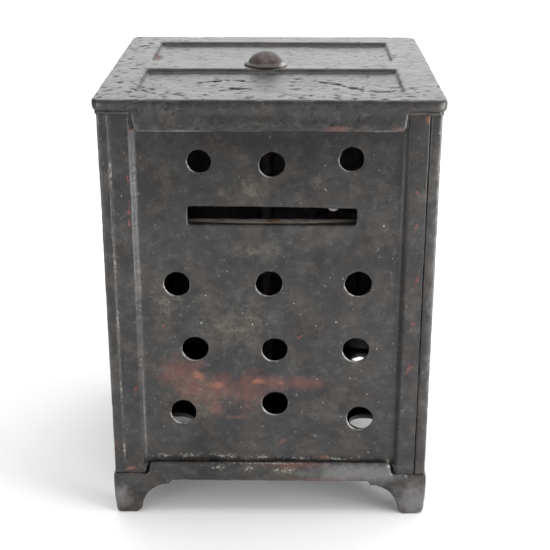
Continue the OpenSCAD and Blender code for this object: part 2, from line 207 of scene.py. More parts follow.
def fillet_panels(sharp, wide, normals, co, edge):
    """Softens the corners of the lid's sunk panels.

    It returns the new positions, the edge values with the panels' hollows in them, which the paint
    darkens as painted shade, and where the panels' walls are.
    """
    reach = np.maximum(np.abs(sharp[:, 0]), np.abs(sharp[:, 1])) / MM
    panels = np.clip(PANEL_REACH - reach, 0, 1) * (sharp[:, 2] > PANEL_LOW_Z * MM)
    shaded_hollows = np.einsum("ij,ij->i", sharp - wide, normals) / (0.22 * MM)
    edge = np.where((panels > 0) & (edge < 0.3), np.minimum(edge, shaded_hollows), edge)
    walls = panels * np.clip((0.93 - normals[:, 2]) / 0.3, 0, 1)
    return co + 0.35 * panels[:, None] * (wide - co), edge, walls


def skin(co, wave, grain, seed):
    """Height in mm of a cast skin: slow waves, fine grain and pits."""
    slow = fractal(co, 14, 3, seed)
    fine = fractal(co, 2.2, 3, seed + 3)
    pits = np.clip(fractal(co, 1.7, 2, seed + 7) - 0.42, 0, 1)
    return wave * slow + grain * fine - 4 * grain * pits


def scabs(co, normals, seed):
    """Scabby paint, thickest towards the left and the coin plate.

    It returns the skin's height as a share of the full dent, and where the paint is torn.
    """
    lumps = fractal(co * (0.8, 1, 1), 2.8, 3, seed + 13)
    holes = np.clip(fractal(co * (0.75, 1, 1), 1.5, 2, seed + 17) - 0.28, 0, 1)
    x, y = co[:, 0] / MM, co[:, 1] / MM
    corner = np.clip(0.35 + (-y - 12) / 30, 0.15, 1) + np.clip((-x - 24) / 14, 0, 0.6)
    patches = np.clip(fractal(co, 16, 2, seed + 19) + 0.35, 0, 1) * 0.6 + np.clip(corner, 0, 1)
    patches *= np.where(normals[:, 2] > 0.5, 1, 0.5)
    return patches * (0.5 * lumps - 2.6 * holes), np.clip(3 * holes * patches - 0.2, 0, 0.38)


def lifted_paint(co, normals, lines, seed):
    """How far paint has lifted along the lines, from 0 to 1, on faces that look up."""
    warp = np.stack([fractal(co, 3, 2, seed + 23), fractal(co, 3, 2, seed + 29)], 1)
    cracks = near_lines(co[:, :2] / MM + 0.9 * warp, lines, CRACK_REACH)
    broken = np.clip(0.65 + 1.6 * fractal(co, 1.6, 3, seed + 31), 0, 1)
    return cracks * (np.clip(normals[:, 2], 0, 1) * broken)


def cast(node, seed, voxel, round_off=1.0, wave=0.10, grain=0.05, dent=0.0, rims=(), flaked=(),
         fillet=0):
    """Remakes a CAD node as a cast piece and hides the node.

    voxel is the mesh size, and wave, grain and dent are the heights of the slow, the fine and the
    scabby unevenness, all in mm. round_off is how far edges are softened, from 0 to 1. rims lists
    round holes along Y as (x, z, radius), and flaked lists lines of lifted paint as (x, y) points,
    in mm. fillet is how many more times the sunk panels of the lid are softened.
    """
    obj = copy_node(node, node + "_casting")
    sharp = remesh(obj, voxel)
    soft, normals = soften(obj, 2)
    # Convex edges lie where softening pulled the surface inwards.
    edge = np.einsum("ij,ij->i", sharp - soft, normals) / (0.2 * voxel * MM)
    co = sharp + round_off * (soft - sharp)
    walls = np.zeros(len(co))
    if fillet:
        wide, normals = soften(obj, fillet)
        co, edge, walls = fillet_panels(sharp, wide, normals, co, edge)

    height = skin(co, wave, grain, seed)
    torn_and_shaded = np.zeros(len(co))
    if dent:
        scab_height, torn_and_shaded = scabs(co, normals, seed)
        height += dent * scab_height
    # Edges are knocked: they lose metal in places and never gain any.
    knocks = np.clip(0.04 + 0.30 * fractal(co, 3.5, 2, seed + 11), 0, 0.3)
    height -= np.clip(edge, 0, 1) * knocks
    if flaked:
        cracks = lifted_paint(co, normals, flaked, seed)
        height -= CRACK_DEPTH * cracks
        # The lid panels' sloped walls are marked here too, so the paint darkens them as painted shade.
        torn_and_shaded = np.maximum(np.maximum(torn_and_shaded, np.clip(1.6 * cracks, 0, 1)), 0.6 * walls)

    moved = co + normals * (height * MM)[:, None]
    bared_and_lit = draw_rims(co, moved, rims)
    if rims:
        bared_and_lit = np.maximum(bared_and_lit, draw_slot(moved))
    if node == "base":
        # The feet taper towards the floor.
        foot = np.clip(1 - moved[:, 2] / (FOOT_TAPER_Z * MM), 0, 1) ** 1.5
        moved[:, :2] *= (1 - FOOT_TAPER * foot)[:, None]
    inside = (np.abs(co[:, :2]) < CHAMBER_HALF * MM).all(1)
    inside &= (co[:, 2] > CHAMBER_LOW * MM) & (co[:, 2] < CHAMBER_HIGH * MM)

    low, high = (np.array(corner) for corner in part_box(node))
    set_positions(obj.data, np.clip(moved, low, high))
    add_attribute(obj.data, "edge", np.clip(edge, -1, 1))
    add_attribute(obj.data, "bared_and_lit", bared_and_lit)
    add_attribute(obj.data, "torn_and_shaded", torn_and_shaded)
    add_attribute(obj.data, "inside", inside.astype(float))
    obj.data.shade_smooth()
    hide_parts(node)
    return obj


# ---------------------------------------------------------------- materials


class Nodes:
    """Short names for building a node material."""

    def __init__(self, name):
        self.material = bpy.data.materials.new(name)
        self.material.use_nodes = True
        self.tree = self.material.node_tree
        self.shader = self.tree.nodes["Principled BSDF"]
        self.coords = self.tree.nodes.new("ShaderNodeTexCoord").outputs["Object"]

    def plug(self, socket, value):
        """Links a socket to another socket, or sets it to a plain value."""
        if isinstance(value, bpy.types.NodeSocket):
            self.tree.links.new(value, socket)
        else:
            socket.default_value = value

    def add(self, kind, inputs, output=0, **settings):
        """Adds a node and returns one of its outputs."""
        new = self.tree.nodes.new("ShaderNode" + kind)
        for key, value in settings.items():
            setattr(new, key, value)
        for key, value in inputs.items():
            self.plug(new.inputs[key], value)
        return new.outputs[output]

    def math(self, operation, a, b=0.0):
        return self.add("Math", {0: a, 1: b}, operation=operation)

    def times(self, a, b):
        return self.math("MULTIPLY", a, b)

    def plus(self, a, b):
        return self.math("ADD", a, b)

    def attribute(self, name):
        """A value the mesh holds for each vertex."""
        return self.add("Attribute", {}, output="Fac", attribute_name=name)

    def noise(self, size, detail, roughness=0.6, shift=0.0, stretch=(1, 1, 1)):
        """Noise from 0 to 1 whose lumps are about size mm across."""
        mapping = self.add("Mapping", {
            "Vector": self.coords, "Location": (shift, shift * 0.7, shift * 1.3), "Scale": stretch})
        return self.add("TexNoise", {
            "Vector": mapping, "Scale": 1 / (size * MM), "Detail": detail, "Roughness": roughness})

    def ramp(self, value, low, high):
        """0 below low, 1 above high, smooth between them."""
        return self.add("MapRange", {0: value, 1: low, 2: high, 3: 0.0, 4: 1.0},
                        interpolation_type="SMOOTHSTEP")

    def mix(self, factor, a, b):
        """Colour a where factor is 0, and b where it is 1."""
        new = self.tree.nodes.new("ShaderNodeMix")
        new.data_type = "RGBA"
        self.plug(new.inputs[0], factor)
        self.plug(new.inputs[6], a)
        self.plug(new.inputs[7], b)
        return new.outputs[2]

    def cover(self, colour, mask, share, other):
        """colour, covered with other up to the given share where mask is 1."""
        return self.mix(self.times(mask, share), colour, other)

    def spot(self, centre, radii):
        """1 at centre, falling to 0 at radii away from it, both in mm along X, Y and Z."""
        place = self.add("VectorMath", {0: self.coords, 1: tuple(c * MM for c in centre)},
                         operation="SUBTRACT")
        scaled = self.add("VectorMath", {0: place, 1: tuple(1 / (r * MM) for r in radii)},
                          operation="MULTIPLY")
        length = self.add("VectorMath", {0: scaled}, output="Value", operation="LENGTH")
        return self.math("SUBTRACT", 1.0, self.math("MINIMUM", length, 1.0))

    def spots(self, places):
        """The strongest of several spots."""
        found = [self.spot(centre, radii) for centre, radii in places]
        total = found[0]
        for other in found[1:]:
            total = self.math("MAXIMUM", total, other)
        return total

    def finish(self, colour, roughness, height, depth, metallic=0.0, specular=0.5):
        """Fills in the shader; height is bumped by depth mm."""
        self.plug(self.shader.inputs["Base Color"], colour)
        self.plug(self.shader.inputs["Roughness"], roughness)
        self.shader.inputs["Metallic"].default_value = metallic
        self.plug(self.shader.inputs["Specular IOR Level"], specular)
        bump = self.add("Bump", {"Height": height, "Distance": depth * MM, "Strength": 1.0})
        self.tree.links.new(bump, self.shader.inputs["Normal"])
        return self.material


BLACK = (0.009, 0.0087, 0.009, 1)
GREY = (0.0185, 0.018, 0.018, 1)
COOL = (0.0165, 0.0172, 0.0192, 1)
WARM = (0.029, 0.0225, 0.0185, 1)
OLIVE = (0.086, 0.072, 0.052, 1)
RUST = (0.150, 0.047, 0.036, 1)
ORANGE = (0.27, 0.098, 0.052, 1)
PALE = (0.115, 0.112, 0.108, 1)
BRIGHT = (0.42, 0.41, 0.40, 1)
DUST = (0.50, 0.49, 0.46, 1)
GRIME_AND_SHADE = (0.0045, 0.004, 0.004, 1)
RAW_AND_LIT = (0.065, 0.058, 0.054, 1)
WORN_AND_LIT = (0.52, 0.47, 0.41, 1)
RED = (0.30, 0.055, 0.045, 1)
CAKED = (0.27, 0.26, 0.23, 1)
FADED = (0.060, 0.058, 0.054, 1)
STREAKED = (0.078, 0.075, 0.071, 1)
FLAKED_OFF = (0.105, 0.090, 0.072, 1)
VEINED = (0.20, 0.19, 0.16, 1)
LIT_PALE = (0.13, 0.125, 0.125, 1)
PAINT_ROUGHNESS = 0.26


def patch(n, places, size, shift, ragged, low, high):
    """A mask over the places with a ragged edge, broken up by noise of the given size in mm.

    It is 0 where place and noise together are under low and 1 where they are over high.
    """
    shape = n.spots(places)
    broken = n.math("SUBTRACT", n.noise(size, 6, 0.75, shift), 0.5)
    total = n.plus(shape, n.times(broken, ragged))
    return n.times(n.ramp(total, low, high), n.ramp(shape, 0.0, 0.25))


def painted_iron(name, rust_places, bare_places, dirt_places=(), orange_places=(), ledge_wear_and_light_places=(),
                 tarnish_places=(), dot_places=(), painted_light_places=(), soot_and_shade_places=(), shade_places=(),
                 shift=0.0, bump=0.2, veins=0.0, pitted=0.0):
    """Worn black paint: blotched greys, bare patches, rust, scratches, pale specks, grime, painted shade and
    painted highlights.

    Each list of places holds (centre, radii) in mm. shift moves all the noise, bump is the height
    of the paint's fine relief in mm, and veins and pitted are how strongly curls and pits show.
    """
    n = Nodes(name)
    cloud = n.noise(18, 4, 0.55, shift)
    blotch = n.noise(5.0, 5, 0.62, shift + 0.1)
    tint = n.noise(7.0, 3, 0.5, shift + 0.2)
    streak = n.noise(1.7, 5, 0.66, shift + 0.15, (0.8, 1, 1))
    edge = n.attribute("edge")
    bared_and_lit = n.attribute("bared_and_lit")
    torn_and_shaded = n.attribute("torn_and_shaded")
    inside = n.attribute("inside")

    colour = n.mix(n.ramp(cloud, 0.36, 0.64), BLACK, GREY)
    colour = n.cover(colour, n.ramp(tint, 0.52, 0.66), 0.7, COOL)
    colour = n.cover(colour, n.ramp(tint, 0.51, 0.38), 0.85, WARM)
    colour = n.cover(colour, n.ramp(blotch, 0.52, 0.70), 0.38, FADED)
    colour = n.cover(colour, n.ramp(blotch, 0.46, 0.34), 0.75, GRIME_AND_SHADE)
    colour = n.cover(colour, n.ramp(streak, 0.53, 0.68), 0.28, STREAKED)
    colour = n.cover(colour, n.ramp(streak, 0.46, 0.36), 0.55, GRIME_AND_SHADE)

    # Thin paint lets olive brown metal through, and some flakes have come right off.
    thin = patch(n, bare_places, 3.0, shift + 0.7, 2.4, 0.25, 0.9)
    colour = n.cover(colour, thin, 0.22, OLIVE)
    flakes = patch(n, bare_places, 4.5, shift + 0.75, 3.4, 0.86, 0.92)
    colour = n.cover(colour, flakes, 0.36, FLAKED_OFF)
    if veins:
        curl = n.math("ABSOLUTE", n.math("SUBTRACT", n.noise(3.4, 3, 0.5, shift + 0.82), 0.5))
        curls = n.times(n.ramp(curl, 0.045, 0.008), n.ramp(n.spots(bare_places), 0.0, 0.5))
        colour = n.cover(colour, curls, veins, VEINED)

    rust = patch(n, rust_places, 3.2, shift + 0.3, 2.0, 0.05, 1.0)
    rust_tint = n.mix(n.ramp(n.noise(1.8, 5, 0.7, shift + 0.4), 0.54, 0.78), RUST, ORANGE)
    colour = n.cover(colour, rust, 0.42, rust_tint)
    if orange_places:
        bloom = patch(n, orange_places, 1.4, shift + 0.45, 2.4, 0.2, 1.0)
        colour = n.cover(colour, bloom, 0.48, ORANGE)

    if dot_places:
        dots = patch(n, dot_places, 1.0, shift + 0.46, 3.4, 0.72, 1.0)
        colour = n.cover(colour, dots, 0.42, RED)
    # Painted light: the listed places are made paler where light falls on them, as highlights on edges,
    # bevels and lit faces.
    if painted_light_places:
        painted_light = patch(n, painted_light_places, 3.0, shift + 0.47, 1.6, 0.1, 0.9)
        colour = n.cover(colour, painted_light, 0.7, LIT_PALE)

    # Scratches: short, thin and in patches.
    line = n.math("ABSOLUTE", n.math("SUBTRACT", n.noise(2.0, 2, 0.4, shift + 0.8), 0.5))
    places = n.ramp(n.noise(2.2, 3, 0.6, shift + 0.9), 0.60, 0.66)
    scratches = n.times(n.ramp(line, 0.010, 0.003), places)
    colour = n.cover(colour, scratches, 0.16, DUST)

    # Rubbed edges are paler, and rims and torn paint show it most; hollows hold grime and painted shade.
    rubbed = n.times(n.ramp(edge, 0.35, 0.9), n.ramp(blotch, 0.36, 0.60))
    colour = n.cover(colour, rubbed, 0.55, PALE)
    # Rims are bare metal, paler at the holes' lower left as a painted highlight.
    chipped = n.ramp(n.noise(1.5, 3, 0.6, shift + 0.95), 0.30, 0.55)
    rim = n.times(n.ramp(bared_and_lit, 0.25, 0.75), chipped)
    colour = n.cover(colour, rim, 0.7, BRIGHT)
    # Concave places and the foot of the lid panels' walls are darkened: grime and painted shade.
    hollow_grime_and_shade = n.ramp(n.times(edge, -1.0), 0.15, 0.8)
    colour = n.cover(colour, hollow_grime_and_shade, 0.7, GRIME_AND_SHADE)
    # Torn paint is darkened with grime, and the lid panels' walls with painted shade.
    colour = n.cover(colour, n.ramp(torn_and_shaded, 0.35, 0.75), 0.9, GRIME_AND_SHADE)

    # Tiny pale specks everywhere, and chips of pale dirt lodged in some places.
    specks = n.ramp(n.noise(0.7, 2, 0.5, shift + 0.5), 0.742, 0.77)
    colour = n.cover(colour, specks, 0.5, DUST)
    if dirt_places:
        lumps = patch(n, dirt_places, 0.75, shift + 0.6, 3.6, 0.70, 1.05)
        colour = n.cover(colour, lumps, 0.65, CAKED)
    # Soot and, on the coin plate, painted shade under the apron and above the base rail.
    if soot_and_shade_places:
        soot_and_shade = patch(n, soot_and_shade_places, 1.6, shift + 0.62, 3.2, 0.40, 0.9)
        colour = n.cover(colour, soot_and_shade, 0.85, GRIME_AND_SHADE)
    if shade_places:
        shade = n.ramp(n.spots(shade_places), 0.0, 0.8)
        colour = n.cover(colour, shade, 0.45, GRIME_AND_SHADE)
    # The case is bare iron inside, made lighter there as painted light that stands in for stray light in the
    # chamber.
    raw_and_lit = n.mix(n.ramp(n.noise(4, 4, 0.6, shift + 0.65), 0.35, 0.65), RAW_AND_LIT, WARM)
    colour = n.cover(colour, inside, 0.9, raw_and_lit)
    if ledge_wear_and_light_places:
        # Coins have rubbed the metal bright, and some of it has rusted again; the pale ledge is also painted
        # light, for light falling into the slot.
        ledge_wear_and_light = n.times(n.ramp(n.spots(ledge_wear_and_light_places), 0.02, 0.35),
                             n.ramp(n.noise(2.4, 4, 0.65, shift + 0.68, (0.6, 1, 1)), 0.25, 0.55))
        colour = n.mix(ledge_wear_and_light, colour, WORN_AND_LIT)
        tarnish = patch(n, tarnish_places, 1.4, shift + 0.69, 1.2, 0.25, 0.8)
        colour = n.cover(colour, tarnish, 0.7, ORANGE)

    # Rust, grime and pits are duller than paint.
    rough = n.plus(PAINT_ROUGHNESS, n.times(blotch, 0.2))
    rough = n.plus(rough, n.times(rust, 0.25))
    dull = n.math("MAXIMUM", torn_and_shaded, hollow_grime_and_shade)
    if shade_places:
        dull = n.math("MAXIMUM", dull, n.times(shade, 0.5))
    if pitted:
        pits = n.ramp(n.noise(1.3, 3, 0.6, shift + 0.36, (0.8, 1, 1)), 0.60, 0.70)
        pits = n.times(pits, n.ramp(n.noise(9, 3, 0.6, shift + 0.37), 0.36, 0.60))
        colour = n.cover(colour, pits, pitted, GRIME_AND_SHADE)
        dull = n.math("MAXIMUM", dull, n.times(pits, pitted))
    rough = n.plus(rough, n.times(dull, 0.35))
    height = n.plus(n.times(blotch, 0.6), n.times(streak, 0.5))
    height = n.plus(height, n.times(rust, 0.25))
    height = n.plus(height, n.times(n.noise(0.8, 3, 0.6, shift + 0.35), 0.18))
    shine = n.math("SUBTRACT", 0.5, n.times(dull, 0.42))
    return n.finish(colour, rough, height, depth=bump, specular=shine)


def bare_iron(name, dark, light, rust_share, shift=0.0, painted_light_places=()):
    """Unpainted iron or dull steel with a brown bloom, and painted highlights in places."""
    n = Nodes(name)
    mottle = n.noise(1.6, 6, 0.65, shift)
    grain = n.noise(0.4, 3, 0.6, shift + 0.1)
    colour = n.mix(n.ramp(mottle, 0.35, 0.68), dark, light)
    bloom = n.ramp(n.noise(2.6, 6, 0.7, shift + 0.2), 0.62 - 0.3 * rust_share, 0.78 - 0.2 * rust_share)
    colour = n.cover(colour, bloom, 0.6, RUST)
    # Painted highlights: the listed places are made paler.
    if painted_light_places:
        pale = patch(n, painted_light_places, 1.8, shift + 0.3, 1.2, 0.15, 0.6)
        colour = n.cover(colour, pale, 0.8, BRIGHT)
    roughness = n.plus(0.36, n.times(mottle, 0.25))
    height = n.plus(n.times(mottle, 0.5), n.times(grain, 0.5))
    return n.finish(colour, roughness, height, depth=0.08, metallic=0.35)


# Where things lie on each casting: (centre, radii), in mm. The coin plate looks towards -Y.
BACK = -37.0     # y of the coin plate's face
coin_rust = [
    ((-21, BACK, 38), (8, 8, 7)), ((-17, BACK, 34), (9, 8, 7)), ((-12.5, BACK, 34.3), (8, 8, 5.5)),
    ((-5.3, BACK, 33.8), (8, 8, 7)), ((1, BACK, 35.6), (7, 8, 3.4)), ((8.5, BACK, 35.6), (8, 8, 2.6)),
    ((-7.5, BACK, 26.2), (4, 8, 0.8)), ((3, BACK, 19.5), (1.8, 8, 1.5)), ((-13, BACK, 28.5), (3, 8, 3)),
]
coin_dots = [
    ((-31.6, BACK, 87), (0.9, 8, 4)), ((-31.6, BACK, 78), (1.0, 8, 7)), ((33, BACK, 84), (1.2, 8, 3)),
    ((33.2, BACK, 75), (1.2, 8, 3)), ((34.0, BACK, 63), (1.3, 8, 5)), ((33.4, BACK, 51), (1.6, 8, 4)),
    ((33.2, BACK, 40), (1.8, 8, 6)), ((-25, BACK, 50), (1.2, 8, 2.5)), ((-32, BACK, 34), (1.5, 8, 4)),
    ((7, BACK, 47), (2, 8, 2)), ((-33, BACK, 13), (3, 8, 1.6)),
]
coin_orange = [
    ((-17, BACK, 37.3), (2.6, 8, 1.8)), ((-12.5, BACK, 34.8), (3.6, 8, 1.6)),
    ((-2.6, BACK, 35.8), (2.6, 8, 1.2)), ((2.8, BACK, 35.4), (1.4, 8, 1.0)),
    ((-30, BACK, 97.8), (1.6, 8, 1.6)), ((13, BACK, 15.3), (3.5, 8, 0.8)), ((-34, BACK, 12.6), (2, 8, 0.9)),
    ((34.8, BACK, 100.2), (1.0, 8, 1.4)),
]
coin_bare = [
    ((-5.8, BACK, 90.7), (2.5, 8, 2.5)), ((-3.8, BACK, 84.6), (6, 8, 5.5)), ((-10.3, BACK, 83), (3, 8, 2.5)),
    ((-3, BACK, 69), (9, 8, 3)), ((-8, BACK, 51), (14, 8, 8)), ((11, BACK, 86), (3, 8, 3)),
    ((-24, BACK, 57), (5, 8, 9)), ((-17, BACK, 31), (10, 8, 8)),
]
coin_dirt = [
    ((-26, BACK, 15.6), (5, 8, 1.7)), ((-20, BACK, 15.5), (6, 8, 1.8)), ((-11, BACK, 15.5), (8, 8, 1.8)),
    ((-2, BACK, 15.3), (7, 8, 1.6)), ((7, BACK, 15.0), (7, 8, 1.1)), ((29, BACK, 14.4), (1.8, 8, 2.0)),
    ((16, BACK, 14.9), (9, 8, 0.8)),
]
# The slot's ledge: metal rubbed bare by coins, made paler too as painted light.
coin_ledge_wear_and_light = [((0.6, -33.3, 75.3), (24, 2.6, 1.2))]
coin_tarnish = [((1.0, -33.5, 75.3), (4.0, 3, 1))]
base_rust = [((7, -38, 14), (12, 5, 1.5)), ((-34, -38, 11.6), (3, 5, 1.0)), ((12, -38, 9.8), (12, 5, 0.8))]
base_dirt = [
    ((-12, -38, 13.2), (5, 3, 1.3)), ((-5, -38, 12.8), (5, 3, 1.6)), ((4, -38, 12.5), (7, 3, 1.5)),
    ((29.3, -38, 13.6), (1.8, 3, 1.6)), ((33, -38, 11.2), (4, 3, 0.8)), ((0, -38, 14.3), (28, 3, 0.6)),
]
# Painted light: the feet and the right of the rail are paler where light from the right and the floor falls.
base_painted_light = [((36, -38.4, 4), (8, 9, 8)), ((-37, -38.4, 5), (4, 8, 5)),
             ((22, -38.4, 12), (20, 3, 5)), ((30, 38.4, 4), (9, 9, 6))]
base_bare = [((4, -38, 12), (13, 5, 2.2)), ((10, 38, 8), (14, 10, 14))]
top_rust = [((14.5, -38, 98.2), (4, 5, 1.3)), ((28, -38, 98), (1.8, 5, 0.9)),
            ((-29.5, 14, 103.7), (2, 7, 2))]
top_bare = [((28, 20, 104.7), (9, 18, 3)), ((-20, -30, 104.7), (16, 6, 1.5))]
top_dirt = [((-2, -8, 104), (5, 4, 2)), ((0, -40, 102.8), (70, 1.4, 5))]
top_soot = [((-14, -39, 103.3), (26, 2, 1.8)), ((20, -39, 102.8), (20, 2, 2.0)),
            ((-30, -39, 102), (9, 2, 2)), ((-8, -38.4, 100.4), (24, 2, 2.4)),
            ((18, -38.4, 99.6), (18, 2, 2.0))]
# Painted highlight along the lower edge of the apron.
apron_edge_highlight = [((-21, -38.5, 97.5), (13, 1.5, 0.5)), ((24, -38.5, 97.5), (7, 1.5, 0.5))]
few_bare = [((10, 38, 60), (14, 10, 14)), ((-20, 38, 30), (12, 10, 10))]
side_rust = [((-38, 8, 40), (6, 12, 9)), ((38, -12, 64), (6, 9, 12)), ((38, 16, 26), (6, 10, 6)),
             ((-38, -26, 92), (6, 5, 5)), ((38, 30, 88), (6, 6, 8)), ((-38, -34, 20), (6, 6, 8))]
side_bare = [((-38, -10, 70), (6, 14, 12)), ((38, 10, 50), (6, 14, 16)), ((-38, 22, 28), (6, 8, 10))]
front_rust = [((-27, 38, 32), (6, 6, 6)), ((-27, 38, 81), (6, 6, 6)), ((12, 38, 40), (9, 6, 6)),
              ((22, 38, 57), (6, 6, 6)), ((-8, 38, 22), (12, 6, 4))]

# Soot, and painted shade in bands under the apron and above the base rail.
coin_soot_and_shade = [((-18, BACK, 15), (18, 8, 1.6)), ((4, BACK, 14.8), (14, 8, 1.2)),
             ((0, BACK, 95), (34, 8, 4)), ((-27, BACK, 84), (6, 8, 12)), ((24, BACK, 96), (12, 8, 3))]
# Painted shade: the right bevel, the plate's right edge and the top of the plate are darkened.
coin_shade = [((30.7, BACK, 52), (1.1, 8, 70)), ((35.4, BACK, 56), (0.8, 8, 70)),
              ((0, BACK, 104), (70, 8, 32))]
# Painted highlight down the left bevel of the coin plate's panel.
coin_bevel_highlight = [((-30.3, -36.4, 24), (0.45, 2, 26))]
coin_paint = painted_iron("coin_plate_paint", coin_rust, coin_bare, coin_dirt, coin_orange, coin_ledge_wear_and_light,
                          coin_tarnish, coin_dots, coin_bevel_highlight, coin_soot_and_shade, coin_shade, veins=0.09)
base_paint = painted_iron("base_paint", base_rust, base_bare, base_dirt, painted_light_places=base_painted_light, shift=0.6)
top_paint = painted_iron("top_paint", top_rust, top_bare, top_dirt, painted_light_places=apron_edge_highlight,
                         soot_and_shade_places=top_soot, shift=1.1, bump=0.3, pitted=0.65)
# Painted highlights along the front edges of the side plates, widest on the right.
side_edge_highlight = [((39.5, -38.5, 56), (4.2, 2, 80)), ((-39.5, -38.5, 40), (2.9, 2, 45))]
side_paint = painted_iron("side_paint", side_rust, side_bare, painted_light_places=side_edge_highlight, shift=1.7)
front_paint = painted_iron("front_paint", front_rust, few_bare, shift=2.3)
# The dome's pale places are painted highlights, at its right front and left back.
dome_iron = bare_iron("dome_iron", (0.047, 0.034, 0.032, 1), (0.094, 0.083, 0.081, 1), 0.28,
                      painted_light_places=[((4.0, -3.0, 105), (3.2, 3.6, 1.2)), ((-5.5, 2.5, 105.4), (2, 3, 1))])
dull_steel = bare_iron("dull_steel", (0.10, 0.095, 0.09, 1), (0.20, 0.19, 0.18, 1), 0.5, 3.1)
latch_iron = bare_iron("latch_iron", (0.04, 0.036, 0.034, 1), (0.09, 0.082, 0.078, 1), 0.6, 4.2)

# ---------------------------------------------------------------- pieces

# x, z and radius of the coin plate's round holes, in mm
VENT_HOLES = [
    (-15.7, 90.3, 2.7), (0.6, 89.6, 2.9), (18.4, 90.9, 2.8),
    (-21.5, 60.8, 3.0), (-0.1, 61.0, 3.1), (20.6, 61.0, 3.1),
    (-17.6, 44.4, 3.1), (1.2, 44.2, 3.0), (20.4, 44.3, 3.1),
    (-20.8, 27.6, 3.1), (1.3, 30.0, 3.1), (21.8, 26.1, 3.1),
]
# lines of lifted paint on the lid, as (x, y) points in mm
FLAKED = [
    [(-17.2, -17.2), (-15.3, -16.4), (-13.1, -15.0), (-10.9, -13.6), (-8.6, -14.2), (-3.4, -15.7)],
    [(-10.5, -22.1), (-8.2, -23.0), (-6.0, -23.5)],
    [(4.7, -12.1), (7.3, -12.9)],
    [(10.1, -15.3), (14.0, -16.8), (16.7, -19.4), (19.4, -22.4), (22.0, -25.0), (24.6, -26.1),
     (28.3, -24.8)],
    [(-29.8, -24.8), (-27.5, -25.6)],
]


def dress(obj, body, material):
    """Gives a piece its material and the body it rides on."""
    obj.data.materials.clear()
    obj.data.materials.append(material)
    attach(obj, body)


castings = [
    ("base", "case", base_paint, dict(seed=2, voxel=0.42)),
    ("top_plate", "case", top_paint,
     dict(seed=3, voxel=0.42, wave=0.12, dent=0.14, flaked=FLAKED, fillet=8)),
    ("coin_plate", "case", coin_paint,
     dict(seed=4, voxel=0.4, round_off=0.5, wave=0.08, grain=0.03, rims=VENT_HOLES)),
    ("left_side_plate", "case", side_paint, dict(seed=5, voxel=0.42, round_off=0.5, wave=0.08)),
    ("right_side_plate", "case", side_paint, dict(seed=6, voxel=0.42, round_off=0.5, wave=0.08)),
    ("front_frame", "case", front_paint, dict(seed=7, voxel=0.4, wave=0.05, grain=0.03)),
    ("door", "door", front_paint, dict(seed=8, voxel=0.4, wave=0.05, grain=0.03)),
]
for node, body, material, how in castings:
    dress(cast(node, **how), body, material)

small = [
    ("tie_bolt", "case", dome_iron, "bolt_iron", dict(seed=9, voxel=0.25, wave=0.06, grain=0.03)),
    ("tie_bolt_nut", "case", dome_iron, "bolt_iron", dict(seed=10, voxel=0.2, wave=0.03, grain=0.02)),
    ("latch_bar", "latch", latch_iron, "latch_iron", dict(seed=11, voxel=0.15, wave=0.02, grain=0.01)),
    ("lock_barrel", "latch", latch_iron, "latch_iron",
     dict(seed=12, voxel=0.12, round_off=0.5, wave=0.01, grain=0.005)),
]
for node, body, material, slot, how in small:
    dress(cast(node, **how), body, material)

for node in ("tie_bolt_washer", "upper_hinge_pin", "lower_hinge_pin", "latch_stop_pin", "latch_washer"):
    materials = NODES[node].data.materials
    materials.clear()
    materials.append(dull_steel)

# ---------------------------------------------------------------- paint in the joints

# Old paint bridges the joints between the castings, a little below their faces.
RING_STEP = 0.5                      # a strip has a ring of vertices about this often
RING_SIDES = 8
SEAM_LOW, SEAM_HIGH = 11.5, 101.4    # ends of the upright strips
UNDER_LIP = 101.7                    # height of the strips under the lid's lip
ON_RAIL = 11.3                       # and of those on top of the base


def paint_strip(name, start, end, width, depth, seed):
    """A bar of paint with a wavy skin from start to end, in mm.

    width and depth are the vectors across it, each as long as the bar is thick that way.
    """
    start, end = np.array(start, float), np.array(end, float)
    along = end - start
    length = np.linalg.norm(along)
    along /= length
    across = np.array(width, float)
    inward = np.array(depth, float)
    rings = max(3, int(length / RING_STEP))
    verts, faces = [], []
    for i in range(rings + 1):
        middle = start + along * length * i / rings
        wobble = noise.noise(Vector((i * 0.21, seed * 3.7, 0)))
        swell = 1 + 0.35 * noise.noise(Vector((i * 0.33, seed * 5.3, 4)))
        middle = middle + across * 0.3 * wobble
        for k in range(RING_SIDES):
            a = k * 2 * math.pi / RING_SIDES
            verts.append((middle + across * 0.5 * swell * math.cos(a)
                          + inward * 0.5 * swell * math.sin(a)) * MM)
        if i:
            low = RING_SIDES * (i - 1)
            for k in range(RING_SIDES):
                after = (k + 1) % RING_SIDES
                faces.append((low + k, low + after, low + RING_SIDES + after, low + RING_SIDES + k))
    last = RING_SIDES * rings
    faces += [tuple(range(RING_SIDES))[::-1], tuple(range(last, last + RING_SIDES))]
    mesh = bpy.data.meshes.new(name)
    mesh.from_pydata([tuple(v) for v in verts], [], faces)
    mesh.shade_smooth()
    obj = bpy.data.objects.new(name, mesh)
    bpy.context.scene.collection.objects.link(obj)
    dress(obj, "case", seam_paint)


